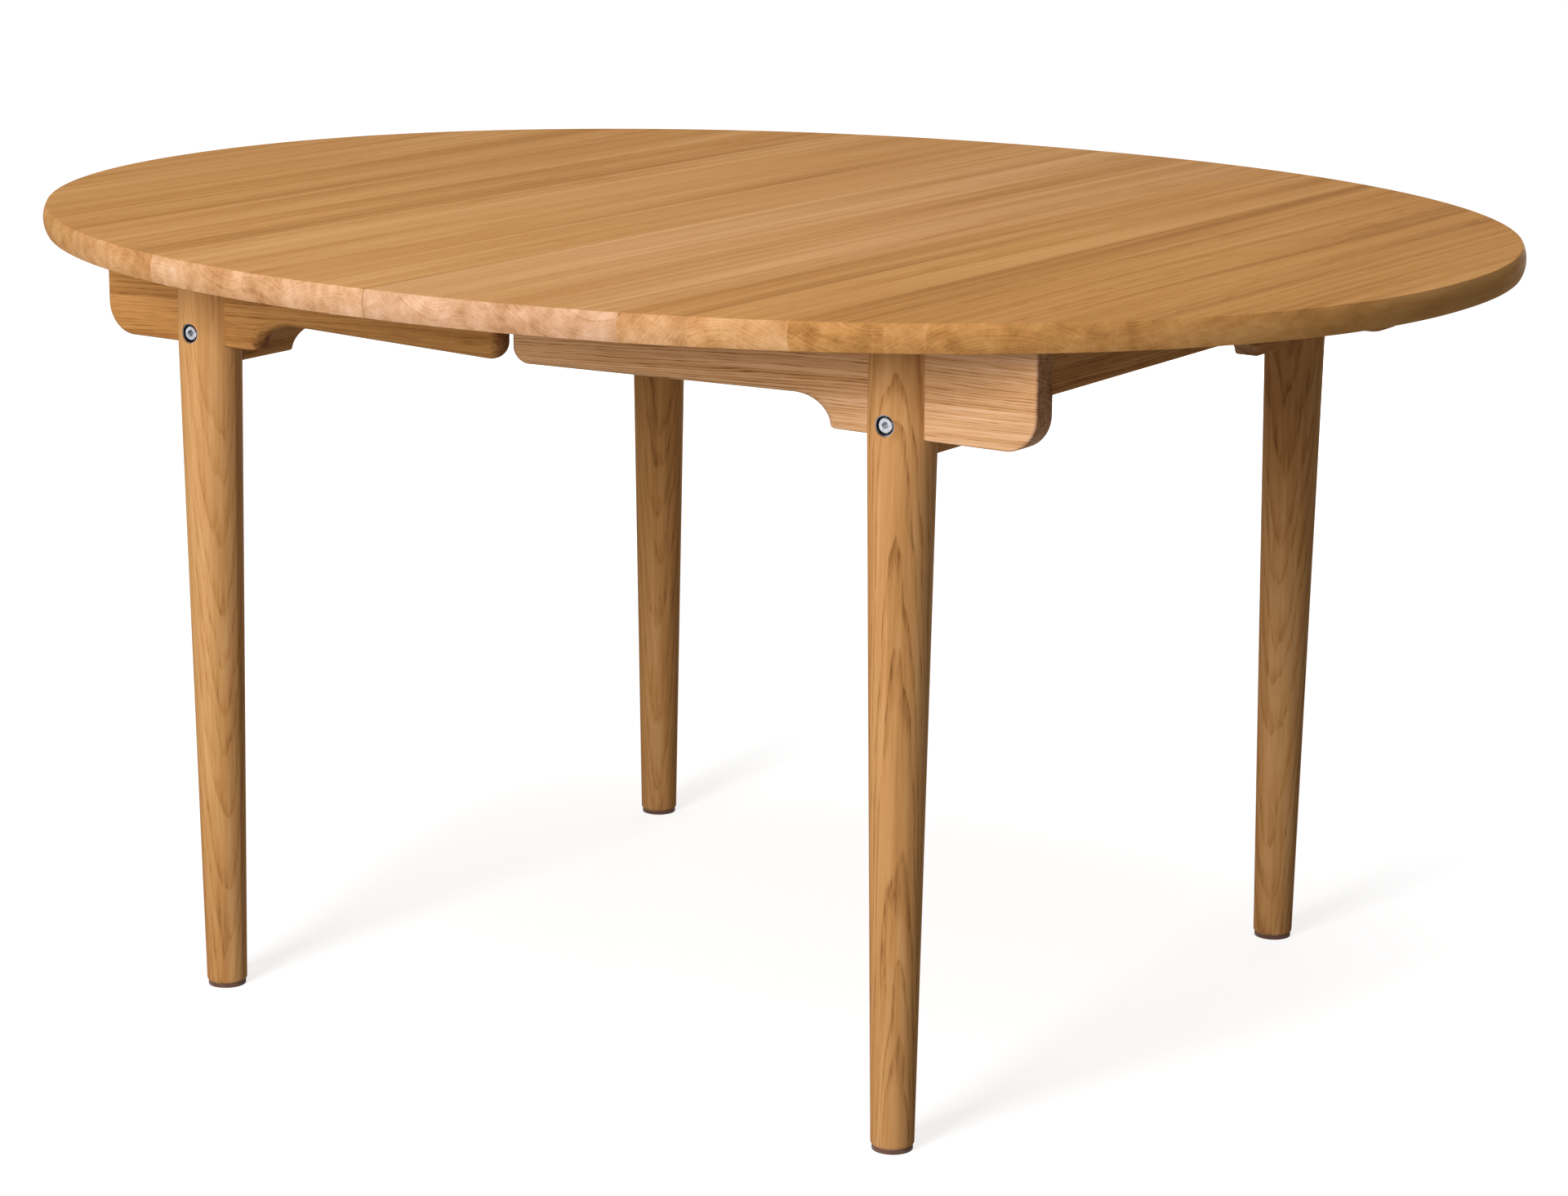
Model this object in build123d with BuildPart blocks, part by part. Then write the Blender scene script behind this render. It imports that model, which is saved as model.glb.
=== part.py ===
from build123d import *
import os
from math import cos, copysign, pi, sin

os.makedirs("parts", exist_ok=True)

# Oval draw-apart dining table. Millimetres, +Z up. The origin is on the floor under the middle of
# the table, X runs along its length, Y across it, and the front is -Y. The left half stands still,
# the right half draws out along +X. The right half is the left half turned half a turn about Z.

# ---------------------------------------------------------------- driving dimensions
table_length = 1400.0
table_width = 1150.0
table_height = 720.0

# Oval top, in two halves
top_thickness = 24.0
top_roundness = 2.09  # power of the superellipse: 2 is an ellipse, more is squarer
rim_point_count = 48  # points that the rim's curve is drawn through
rim_bow = 3.2  # the rim's face bows out this far at mid-height
rim_ease = 1.0  # radius on the rim's two edges
rim_allowance = 1.0  # left on the blank until its rim is shaped
seam_gap = 0.4

# Side aprons: a long one and a short one on each half
apron_thickness = 26.0
apron_face_y = 357.0
long_end_x = 498.5
short_end_x = 483.0
apron_depth = 88.7  # at the leg and the outer end
apron_cove_depth = 64.3  # just inside the cove
apron_split_depth = 70.5  # at the split
apron_ear_radius = 29.0
apron_split_radius = 15.5
apron_split_x = 28.5  # the split stands this far past the middle of the table
apron_split_gap = 11.9
long_cove_x = 301.0
short_cove_x = 306.5
apron_cove_width = 36.0
apron_round_radius = 12.0  # rounds over the inner end, the lower edge and the cove, nearly to a half round
apron_edge_radius = 2.5  # eases the outer end and the edge under the leg

# End rails, across the table between the side aprons
rail_thickness = 25.0
rail_depth = 108.0
rail_shallow_depth = 88.0
rail_cove_y = 248.0
rail_cove_width = 40.0
rail_edge_radius = 3.0
cove_foot_ease = 0.4  # the sharp foot of the cove is rounded this much more than the long edges
rail_toe_gap = 1.4

# Legs: round and tapered, with the inner side of the head lapped over the apron
leg_x = 369.0
leg_lap = 10.0  # the apron's face stands this far outside the leg's axis
leg_shoulder_radius = 28.6
leg_head_radius = 27.6
leg_foot_radius = 18.5
leg_foot_rounding = 4.0
foot_pad_radius = 17.4
foot_pad_thickness = 3.0

# Leg bolt: cap screw in a coned cup, with a barrel nut in the end rail
bolt_rise = 12.2  # above the apron's lower edge
bolt_radius = 4.0
bolt_length = 80.0
bolt_clearance = 0.3
bolt_head_radius = 6.5
bolt_head_height = 8.0
bolt_socket_across = 6.0
bolt_socket_depth = 4.5
cup_radius = 9.0
cup_height = 10.0
cup_floor = 1.5
cup_lip = 0.7
cup_sink = 1.8  # from the leg's outermost line down to the cup's lip
nut_radius = 6.0
nut_length = 20.0
nut_inset = 32.0  # from the end of the rail to the nut's axis
corner_dowel_radius = 5.0
corner_dowel_in_leg = 12.0
corner_dowel_in_rail = 30.0
corner_dowel_rises = (45.0, 72.0)  # above the apron's lower edge

# Wooden draw runners: one on each half, one between them that floats
runner_width = 26.0
runner_height = 44.0
runner_middle_y = 229.5
runner_side_gap = 0.4
runner_relief = 1.0  # under the half of the top that it slides beneath
runner_end_gap = 6.0
runner_overlap = 100.0  # what stays engaged when fully drawn
groove_depth = 9.0
groove_mouth = 12.8
groove_slope = 0.667  # the dovetail widens by this much per millimetre of depth
groove_gap = 0.4
stop_pin_radius = 3.0
stop_pin_reach = 3.2
stop_pin_end = 50.0  # from the runner's end to the pin
stop_channel_height = 7.0
stop_channel_depth = 4.0
stop_gap = 1.0

# Tie that joins the two floating runners
tie_width = 60.0
tie_thickness = 18.0

# Cleats that hold the top to the aprons and rails
cleat_size = 22.0
cleat_end_gap = 24.0
apron_cleat_length = 220.0
rail_cleat_length = 280.0

# Screws and pins
screw_radius = 2.0
screw_head_radius = 4.0
screw_head_height = 2.6
screw_point = 3.0
screw_grip = 12.0  # length that bites into the second piece
runner_screw_length = 42.0
runner_screw_recess = 4.6
tie_screw_length = 40.0
fit = 0.05  # radial clearance of a fastener in its own hole
pin_radius = 5.0
pin_in_half = 18.0
pin_reach = 12.0
pin_clearance = 0.3
pin_ys = (-440.0, -150.0, 150.0, 440.0)

# ---------------------------------------------------------------- places that follow from them
underside_z = table_height - top_thickness
apron_inner_y = apron_face_y - apron_thickness
apron_low_z = underside_z - apron_depth
leg_y = apron_face_y - leg_lap
rail_low_z = underside_z - rail_depth
rail_face_x = leg_x - rail_thickness / 2
bolt_z = apron_low_z + bolt_rise
bolt_leg_radius = leg_shoulder_radius - (leg_shoulder_radius - leg_head_radius) * bolt_rise / apron_depth
cup_seat = -(bolt_leg_radius - cup_sink - cup_height)  # along Y, from the leg's axis
bolt_seat = cup_seat - cup_floor
rail_end = apron_thickness - leg_lap  # along Y, from the leg's axis
runner_length = 2 * (rail_face_x - runner_end_gap)
runner_travel = runner_length - runner_overlap
runner_end_x = runner_length / 2
stop_pin_x = runner_end_x - stop_pin_end
runner_low_z = underside_z - runner_height
outer_runner_y = runner_middle_y + runner_width + runner_side_gap
inner_runner_y = runner_middle_y - runner_width - runner_side_gap
groove_z = runner_low_z + runner_height / 2
tie_top_z = runner_low_z - runner_relief
cleat_low_z = underside_z - cleat_size
apron_cleat_x = -(rail_face_x - cleat_end_gap - apron_cleat_length / 2)
rail_cleat_x = -(rail_face_x - cleat_size / 2)
cleat_screw_length = cleat_size + screw_grip
seam_z = table_height - top_thickness / 2


def save(piece, name):
    """Label a finished piece and write it."""
    piece.part.label = name
    export_step(piece.part, f"parts/{name}.step")


def save_pair(piece, left_name, right_name):
    """Write a piece of the left half, and its twin on the right half, half a turn round."""
    save(piece, left_name)
    with BuildPart() as twin:
        add(piece.part, rotation=(0, 0, 180))
    save(twin, right_name)


# ---------------------------------------------------------------- screws
def wood_screw(length, grow=0.0):
    """Countersunk screw along +Z with its head's flat at Z = 0; grow makes the hole for it."""
    shank = screw_radius + grow
    head = screw_head_radius + grow
    with BuildPart() as screw:
        with BuildSketch(Plane.XZ):
            with BuildLine():
                Polyline(
                    (0, 0),
                    (head, 0),
                    (shank, screw_head_height + grow),
                    (shank, length - screw_point + grow),
                    (0, length + grow),
                    close=True,
                )
            make_face()
        revolve(axis=Axis.Z)
    return screw.part


def cleat_screw_places():
    """Places of the left half's cleat screws: each along its own +Z, head flush with the cleat."""
    along = apron_cleat_length / 2 - cleat_end_gap
    places = []
    for side in (-1, 1):
        inner_y = side * (apron_inner_y - cleat_size)
        for x in (apron_cleat_x - along, apron_cleat_x + along):
            places.append(Location((x, side * (apron_inner_y - cleat_size / 2), cleat_low_z)))
        for x in (apron_cleat_x - along / 2, apron_cleat_x + along / 2):
            places.append(Location((x, inner_y, underside_z - cleat_size / 2), (-90 * side, 0, 0)))
    across = rail_cleat_length / 2 - cleat_end_gap
    for y in (-across, 0, across):
        places.append(Location((rail_cleat_x, y, cleat_low_z)))
    for y in (-across / 2, across / 2):
        start = (rail_cleat_x + cleat_size / 2, y, underside_z - cleat_size / 2)
        places.append(Location(start, (0, -90, 0)))
    return places


def runner_screw_places():
    """Places of the screws that hold the left half's runners, from below."""
    wall = (runner_width - groove_depth) / 2
    inner_side = inner_runner_y - runner_width / 2 + wall
    outer_side = outer_runner_y + runner_width / 2 - wall
    start_z = underside_z + screw_grip - runner_screw_length
    places = []
    for x in (-runner_end_x + cleat_end_gap, -runner_end_x / 2, -2 * cleat_end_gap):
        places.append(Location((x, -inner_side, start_z)))
        places.append(Location((x, outer_side, start_z)))
    return places


def drill(length, places):
    """Cut the holes of a set of screws into the part being built."""
    with Locations(*places):
        add(wood_screw(length, grow=fit), mode=Mode.SUBTRACT)


for name, length, places in (
    ("cleat_screws", cleat_screw_length, cleat_screw_places()),
    ("runner_screws", runner_screw_length, runner_screw_places()),
):
    with BuildPart() as screws:
        with Locations(*places):
            add(wood_screw(length))
    save_pair(screws, f"{name}_left", f"{name}_right")


# ---------------------------------------------------------------- oval top
def oval_points(proud=0.0):
    """Points of the top's outline, a superellipse, grown this much."""
    power = 2 / top_roundness
    half_length = table_length / 2 + proud
    half_width = table_width / 2 + proud
    points = []
    for i in range(rim_point_count):
        along = cos(2 * pi * i / rim_point_count)
        across = sin(2 * pi * i / rim_point_count)
        x = half_length * copysign(abs(along) ** power, along)
        y = half_width * copysign(abs(across) ** power, across)
        points.append((x, y, 0))
    return points


half_top = top_thickness / 2
with BuildPart() as whole_top:
    with BuildSketch(Plane.XY.offset(underside_z)):
        with BuildLine():
            Spline(*oval_points(rim_allowance), periodic=True)
        make_face()
    extrude(amount=top_thickness)
    with BuildLine(Plane.XY.offset(seam_z)) as rim_line:
        Spline(*oval_points(), periodic=True)
    with BuildSketch(Plane((table_length / 2, 0, seam_z), x_dir=(1, 0, 0), z_dir=(0, -1, 0))) as waste:
        with BuildLine():
            Polyline(
                (-rim_bow, -half_top),
                (-rim_bow, -top_thickness),
                (top_thickness, -top_thickness),
                (top_thickness, top_thickness),
                (-rim_bow, top_thickness),
                (-rim_bow, half_top),
            )
            ThreePointArc((-rim_bow, half_top), (0, 0), (-rim_bow, -half_top))
        make_face()
    sweep(waste.sketch, path=rim_line.line, mode=Mode.SUBTRACT)
    rims = whole_top.edges().group_by(Axis.Z)
    fillet(rims[0] + rims[-1], radius=min(rim_ease, top_thickness / 8))


def left_top(pin_hole_radius):
    """The left half of the top, with the holes that are drilled in its underside and its seam."""
    with BuildPart() as top:
        add(whole_top.part)
        split(bisect_by=Plane.YZ.offset(-seam_gap / 2), keep=Keep.BOTTOM)
        for y in pin_ys:
            with Locations(Location((0, y, seam_z), (0, 90, 0))):
                Cylinder(pin_hole_radius, 2 * (pin_in_half + fit), mode=Mode.SUBTRACT)
        drill(cleat_screw_length, cleat_screw_places())
        drill(runner_screw_length, runner_screw_places())
    return top


save(left_top(pin_radius + fit), "top_left")
with BuildPart() as top_right:
    add(left_top(pin_radius + pin_clearance).part, rotation=(0, 0, 180))
save(top_right, "top_right")

with BuildPart() as alignment_pins:
    for y in pin_ys:
        with Locations(Location(((pin_reach - pin_in_half) / 2, y, seam_z), (0, 90, 0))):
            Cylinder(pin_radius, pin_in_half + pin_reach)
    pin_tips = alignment_pins.edges().group_by(Axis.X)[-1]
    chamfer(pin_tips, length=pin_radius / 3)
save(alignment_pins, "alignment_pins")


# ---------------------------------------------------------------- side aprons
def apron(side, end_x, cove_x, split_x):
    """A side apron of the left half. side is -1 for the front and 1 for the back."""
    cove_top = apron_depth - apron_cove_depth
    plane = Plane.XZ.offset(-side * apron_face_y)
    with BuildPart() as board:
        with BuildSketch(plane) as outline:
            with BuildLine():
                cove_centre = (-cove_x + apron_cove_width, apron_low_z)
                cove_end = (cove_centre[0], apron_low_z + cove_top)
                split_low = (split_x, underside_z - apron_split_depth)
                Polyline((-cove_x, apron_low_z), (-end_x, apron_low_z), (-end_x, underside_z),
                         (split_x, underside_z), split_low, cove_end)
                EllipticalCenterArc(cove_centre, apron_cove_width, cove_top, start_angle=90, arc_size=90)
            make_face()
            ends = outline.vertices().group_by(Axis.X)
            fillet(ends[0].sort_by(Axis.Y)[0], radius=apron_ear_radius)
            fillet(outline.vertices().group_by(Axis.X)[-1].sort_by(Axis.Y)[0], radius=apron_split_radius)
        extrude(amount=side * apron_thickness)
        rims = board.faces().filter_by(Axis.Y).edges().filter_by_position(Axis.Z, 0, underside_z - 1)
        fillet(rims.filter_by(lambda rim: rim.bounding_box().min.X > -cove_x - 1),
               radius=min(apron_round_radius, 0.46 * apron_thickness))
        rims = board.faces().filter_by(Axis.Y).edges().filter_by_position(Axis.Z, 0, underside_z - 1)
        fillet(rims.filter_by(lambda rim: rim.bounding_box().max.X < -cove_x + 1),
               radius=min(apron_edge_radius, 0.3 * apron_thickness))
        bolt_hole = Location((-leg_x, side * (apron_face_y - apron_thickness / 2), bolt_z), (90, 0, 0))
        with Locations(bolt_hole):
            Cylinder(bolt_radius + bolt_clearance, 2 * apron_thickness, mode=Mode.SUBTRACT)
        for rise in corner_dowel_rises:
            place = (-leg_x, side * (apron_face_y - apron_thickness / 2), apron_low_z + rise)
            with Locations(Location(place, (90, 0, 0))):
                Cylinder(corner_dowel_radius + fit, 2 * apron_thickness, mode=Mode.SUBTRACT)
        if split_x > 0:
            with Locations((split_x, side * apron_face_y, underside_z)):
                Box(2 * split_x, 3 * apron_thickness, 2 * runner_relief, mode=Mode.SUBTRACT)
        drill(cleat_screw_length, cleat_screw_places())
    return board


long_split_x = apron_split_x - apron_split_gap / 2
short_split_x = -(apron_split_x + apron_split_gap / 2)
save_pair(apron(1, long_end_x, long_cove_x, long_split_x), "apron_left_back", "apron_right_front")
save_pair(apron(-1, short_end_x, short_cove_x, short_split_x), "apron_left_front", "apron_right_back")

# ---------------------------------------------------------------- end rails
rail_toe_y = leg_y - leg_shoulder_radius - rail_toe_gap
with BuildPart() as end_rail:
    with BuildSketch(Plane.YZ.offset(-leg_x - rail_thickness / 2)) as rail_outline:
        with BuildLine():
            rail_cove_z = underside_z - rail_shallow_depth
            Polyline((0, rail_cove_z), (rail_cove_y - rail_cove_width, rail_cove_z))
            rail_cove_centre = (rail_cove_y - rail_cove_width, rail_low_z)
            EllipticalCenterArc(rail_cove_centre, rail_cove_width, rail_depth - rail_shallow_depth,
                                start_angle=90, arc_size=-90)
            Polyline((rail_cove_y, rail_low_z), (rail_toe_y, rail_low_z), (rail_toe_y, apron_low_z),
                     (apron_inner_y, apron_low_z), (apron_inner_y, underside_z), (0, underside_z))
            mirror(about=Plane.YZ)
        make_face()
        for side in (-1, 1):
            cove_foot = rail_outline.vertices().sort_by_distance((side * rail_cove_y, rail_low_z))[0]
            fillet(cove_foot, radius=rail_edge_radius + cove_foot_ease)
    extrude(amount=rail_thickness)
    rail_rims = end_rail.faces().filter_by(Axis.X).edges()
    rail_inside = rail_rims.filter_by_position(Axis.Y, -rail_toe_y + 0.1, rail_toe_y - 0.1)
    rail_low_rims = rail_inside.filter_by_position(Axis.Z, rail_low_z - 1, apron_low_z + 10)
    fillet(rail_low_rims, radius=min(rail_edge_radius, 0.3 * rail_thickness))
    for side in (-1, 1):
        bolt_start = side * (leg_y - rail_end)
        bolt_reach = bolt_seat + bolt_length - rail_end + nut_radius
        with Locations(Location((-leg_x, bolt_start, bolt_z), (90, 0, 0))):
            Cylinder(bolt_radius + bolt_clearance, 2 * bolt_reach, mode=Mode.SUBTRACT)
        nut_y = side * (leg_y - rail_end - nut_inset)
        nut_hole_start = -leg_x - nut_length / 2
        with Locations(Location((nut_hole_start, nut_y, bolt_z), (0, 90, 0))):
            Cylinder(nut_radius + fit, rail_thickness, align=(Align.CENTER, Align.CENTER, Align.MIN),
                     mode=Mode.SUBTRACT)
        for rise in corner_dowel_rises:
            with Locations(Location((-leg_x, bolt_start, apron_low_z + rise), (90, 0, 0))):
                Cylinder(corner_dowel_radius + fit, 2 * corner_dowel_in_rail + 1, mode=Mode.SUBTRACT)
    drill(cleat_screw_length, cleat_screw_places())
save_pair(end_rail, "end_rail_left", "end_rail_right")

# ---------------------------------------------------------------- legs and their fastenings
# Each is built on its own leg's axis with the table's middle towards +Y, and then set on a corner.
corners = {
    "left_front": Location((-leg_x, -leg_y, 0)),
    "left_back": Location((-leg_x, leg_y, 0), (0, 0, 180)),
    "right_front": Location((leg_x, -leg_y, 0)),
    "right_back": Location((leg_x, leg_y, 0), (0, 0, 180)),
}

with BuildPart() as leg_pattern:
    with BuildSketch(Plane.XZ):
        with BuildLine():
            Polyline(
                (0, foot_pad_thickness),
                (leg_foot_radius, foot_pad_thickness),
                (leg_shoulder_radius, apron_low_z),
                (leg_head_radius, underside_z),
                (0, underside_z),
                close=True,
            )
        make_face()
    revolve(axis=Axis.Z)
    fillet(leg_pattern.edges().group_by(Axis.Z)[0], radius=leg_foot_rounding)
    with Locations((0, -leg_lap, apron_low_z)):
        Box(3 * leg_shoulder_radius, 2 * leg_shoulder_radius, 2 * apron_depth,
            align=(Align.CENTER, Align.MIN, Align.MIN), mode=Mode.SUBTRACT)
    with Locations(Location((0, 0, bolt_z), (90, 0, 0))):
        Cylinder(bolt_radius + bolt_clearance, 3 * leg_shoulder_radius, mode=Mode.SUBTRACT)
    with Locations(Location((0, cup_seat, bolt_z), (90, 0, 0))):
        Cylinder(cup_radius + fit, 2 * leg_shoulder_radius, align=(Align.CENTER, Align.CENTER, Align.MIN),
                 mode=Mode.SUBTRACT)
    for rise in corner_dowel_rises:
        with Locations(Location((0, -leg_lap, apron_low_z + rise), (90, 0, 0))):
            Cylinder(corner_dowel_radius + fit, 2 * corner_dowel_in_leg + 1, mode=Mode.SUBTRACT)

with BuildPart() as foot_pad_pattern:
    Cylinder(foot_pad_radius, foot_pad_thickness, align=(Align.CENTER, Align.CENTER, Align.MIN))
    fillet(foot_pad_pattern.edges().group_by(Axis.Z)[-1], radius=foot_pad_thickness / 4)

for corner, place in corners.items():
    with BuildPart() as leg:
        with Locations(place):
            add(leg_pattern.part)
    save(leg, f"leg_{corner}")
    with BuildPart() as foot_pad:
        with Locations(place):
            add(foot_pad_pattern.part)
    save(foot_pad, f"foot_pad_{corner}")

with BuildPart() as bolt_pattern:
    with BuildSketch(Plane.XZ.offset(-bolt_seat)):
        with Locations((0, bolt_z)):
            Circle(bolt_head_radius)
    extrude(amount=bolt_head_height)
    chamfer(bolt_pattern.edges().group_by(Axis.Y)[0], length=0.6)
    with BuildSketch(Plane.XZ.offset(-bolt_seat + bolt_head_height)):
        with Locations((0, bolt_z)):
            RegularPolygon(bolt_socket_across / 2, 6, major_radius=False)
    extrude(amount=-bolt_socket_depth, mode=Mode.SUBTRACT)
    with BuildSketch(Plane.XZ.offset(-bolt_seat)):
        with Locations((0, bolt_z)):
            Circle(bolt_radius)
    extrude(amount=-bolt_length)
    chamfer(bolt_pattern.edges().group_by(Axis.Y)[-1], length=0.8)

with BuildPart() as cup_pattern:
    with BuildSketch(Plane.XY):
        with BuildLine():
            Polyline(
                (bolt_radius + bolt_clearance, 0),
                (cup_radius, 0),
                (cup_radius, cup_height),
                (cup_radius - cup_lip, cup_height),
                (bolt_head_radius + cup_lip, cup_floor),
                (bolt_radius + bolt_clearance, cup_floor),
                close=True,
            )
        make_face()
    revolve(axis=Axis.Y)

with BuildPart() as nut_pattern:
    nut_y = rail_end + nut_inset
    with Locations(Location((0, nut_y, bolt_z), (0, 90, 0))):
        Cylinder(nut_radius, nut_length)
    chamfer(nut_pattern.edges().filter_by(GeomType.CIRCLE), length=0.6)
    with Locations(Location((0, nut_y, bolt_z), (90, 0, 0))):
        Cylinder(bolt_radius + fit, 3 * nut_radius, mode=Mode.SUBTRACT)

with BuildPart() as corner_dowel_pattern:
    dowel_length = corner_dowel_in_leg + apron_thickness + corner_dowel_in_rail
    dowel_middle = -leg_lap - corner_dowel_in_leg + dowel_length / 2
    for rise in corner_dowel_rises:
        with Locations(Location((0, dowel_middle, apron_low_z + rise), (90, 0, 0))):
            Cylinder(corner_dowel_radius, dowel_length)
    chamfer(corner_dowel_pattern.edges().filter_by(GeomType.CIRCLE), length=1)

with BuildPart() as cup_in_place:
    with Locations(Location((0, cup_seat, bolt_z), (180, 0, 0))):
        add(cup_pattern.part)

for half in ("left", "right"):
    for name, pattern in (
        ("leg_bolts", bolt_pattern),
        ("bolt_cups", cup_in_place),
        ("barrel_nuts", nut_pattern),
        ("corner_dowels", corner_dowel_pattern),
    ):
        with BuildPart() as group:
            with Locations(corners[f"{half}_front"], corners[f"{half}_back"]):
                add(pattern.part)
        save(group, f"{name}_{half}")


# ---------------------------------------------------------------- cleats under the top
def cleat(length_x, length_y, x, y):
    """A square batten against the underside of the top, drilled for its screws."""
    with BuildPart() as batten:
        with Locations((x, y, underside_z)):
            Box(length_x, length_y, cleat_size, align=(Align.CENTER, Align.CENTER, Align.MAX))
        drill(cleat_screw_length, cleat_screw_places())
    return batten


cleat_y = apron_inner_y - cleat_size / 2
save_pair(cleat(apron_cleat_length, cleat_size, apron_cleat_x, cleat_y), "apron_cleat_left_back",
          "apron_cleat_right_front")
save_pair(cleat(apron_cleat_length, cleat_size, apron_cleat_x, -cleat_y), "apron_cleat_left_front",
          "apron_cleat_right_back")
save_pair(cleat(cleat_size, rail_cleat_length, rail_cleat_x, 0), "rail_cleat_left", "rail_cleat_right")


# ---------------------------------------------------------------- draw runners
def dovetail(width, depth):
    """Dovetail outline that starts this wide on a face and reaches this deep along the sketch's X."""
    wide = width + groove_slope * depth
    with BuildSketch(mode=Mode.PRIVATE) as tail:
        with BuildLine():
            Polyline((0, -width / 2), (depth, -wide / 2), (depth, wide / 2), (0, width / 2), close=True)
        make_face()
    return tail.sketch


def fixed_runner(y):
    """A runner of the left half, centred at y and grooved along its -Y face."""
    face_y = y - runner_width / 2
    with BuildPart() as runner:
        with Locations((0, y, underside_z)):
            Box(runner_length, runner_width, runner_height, align=(Align.CENTER, Align.CENTER, Align.MAX))
        with Locations((-seam_gap - runner_relief, y, underside_z - runner_relief)):
            Box(runner_length, 2 * runner_width, 2 * runner_relief,
                align=(Align.MIN, Align.CENTER, Align.MIN), mode=Mode.SUBTRACT)
        with BuildSketch(Plane(origin=(0, face_y, groove_z), x_dir=(0, 1, 0), z_dir=(1, 0, 0))):
            add(dovetail(groove_mouth, groove_depth))
        extrude(amount=runner_length, both=True, mode=Mode.SUBTRACT)
        with Locations(Location((stop_pin_x, y, groove_z), (90, 0, 0))):
            Cylinder(stop_pin_radius + fit, 2 * runner_width, mode=Mode.SUBTRACT)
        with Locations(*runner_screw_places()):
            Cylinder(runner_screw_recess, runner_height, align=(Align.CENTER, Align.CENTER, Align.MAX),
                     mode=Mode.SUBTRACT)
        drill(runner_screw_length, runner_screw_places())
    return runner


save_pair(fixed_runner(outer_runner_y), "runner_left_back", "runner_right_front")
save_pair(fixed_runner(-inner_runner_y), "runner_left_front", "runner_right_back")

with BuildPart() as stop_pins:
    for y in (outer_runner_y, -inner_runner_y):
        with Locations(Location((stop_pin_x, y + runner_width / 2, groove_z), (90, 0, 0))):
            Cylinder(stop_pin_radius, runner_width - groove_depth + stop_pin_reach,
                     align=(Align.CENTER, Align.CENTER, Align.MIN))
save_pair(stop_pins, "stop_pins_left", "stop_pins_right")

tongue_reach = runner_side_gap + groove_depth - groove_gap
tongue_root = groove_mouth - 2 * groove_gap - groove_slope * runner_side_gap
stop_channel_end = stop_pin_x - runner_travel - stop_pin_radius - stop_gap
tie_screw_places = []
for x in (-tie_width / 4, tie_width / 4):
    for y in (-runner_middle_y, runner_middle_y):
        tie_screw_places.append(Location((x, y, tie_top_z - tie_thickness)))

with BuildPart() as middle_runner:
    with Locations((0, runner_middle_y, tie_top_z)):
        Box(runner_length, runner_width, underside_z - runner_relief - tie_top_z,
            align=(Align.CENTER, Align.CENTER, Align.MIN))
    for outward in (-1, 1):
        face_y = runner_middle_y + outward * runner_width / 2
        with BuildSketch(Plane(origin=(0, face_y, groove_z), x_dir=(0, outward, 0), z_dir=(outward, 0, 0))):
            add(dovetail(tongue_root, tongue_reach))
        extrude(amount=runner_length / 2, both=True)
        tip_y = face_y + outward * tongue_reach
        with Locations((outward * stop_channel_end, tip_y, groove_z)):
            channel_align = Align.MIN if outward > 0 else Align.MAX
            Box(2 * runner_length, 2 * stop_channel_depth, stop_channel_height,
                align=(channel_align, Align.CENTER, Align.CENTER), mode=Mode.SUBTRACT)
    drill(tie_screw_length, tie_screw_places)
save_pair(middle_runner, "middle_runner_back", "middle_runner_front")

with BuildPart() as carriage_tie:
    with Locations((0, 0, tie_top_z)):
        Box(tie_width, 2 * runner_middle_y + runner_width, tie_thickness,
            align=(Align.CENTER, Align.CENTER, Align.MAX))
    drill(tie_screw_length, tie_screw_places)
save(carriage_tie, "carriage_tie")

with BuildPart() as tie_screws:
    with Locations(*tie_screw_places):
        add(wood_screw(tie_screw_length))
save(tie_screws, "tie_screws")
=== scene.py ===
import bmesh
import bpy
from math import asin, cos, copysign, hypot, pi, sin, sqrt
from mathutils import Matrix, Vector


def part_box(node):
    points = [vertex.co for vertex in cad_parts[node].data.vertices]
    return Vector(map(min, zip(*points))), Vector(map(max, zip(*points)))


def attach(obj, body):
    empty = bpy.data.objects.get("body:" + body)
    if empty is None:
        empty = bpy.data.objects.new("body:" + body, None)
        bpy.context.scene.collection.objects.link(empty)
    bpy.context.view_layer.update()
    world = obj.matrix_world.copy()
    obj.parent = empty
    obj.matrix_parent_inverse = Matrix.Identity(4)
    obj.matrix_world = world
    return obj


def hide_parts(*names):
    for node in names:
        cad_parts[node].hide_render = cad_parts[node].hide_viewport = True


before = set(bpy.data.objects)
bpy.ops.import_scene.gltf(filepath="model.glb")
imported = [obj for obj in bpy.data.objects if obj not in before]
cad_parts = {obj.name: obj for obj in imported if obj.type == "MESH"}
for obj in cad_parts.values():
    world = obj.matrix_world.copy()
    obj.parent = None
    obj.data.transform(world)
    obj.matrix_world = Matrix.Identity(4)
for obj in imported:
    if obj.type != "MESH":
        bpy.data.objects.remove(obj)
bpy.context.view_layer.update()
mm = 0.001

# ================================================================ oval top
# The top is oak staves glued side by side, with the grain across the table, and sawn through along
# the middle joint into two halves. Its rim is shaped to a shallow bow after gluing, so each stave
# shows end grain there. The oak is sanded and oiled.
half_length = -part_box("top_left")[0][0]
half_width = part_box("top_left")[1][1]
underside, top_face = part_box("top_left")[0][2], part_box("top_left")[1][2]
seam_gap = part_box("top_right")[0][0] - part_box("top_left")[1][0]
roundness = 2.09
rim_bow = 3.2 * mm
rim_ease = 1.0 * mm
outline_points = 288
pin_places = (-440 * mm, -150 * mm, 150 * mm, 440 * mm)
pin_hole_depth = 18.05 * mm
pin_hole_radius = {"left": 5.05 * mm, "right": 5.30 * mm}  # glued in on the left, sliding on the right


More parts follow.
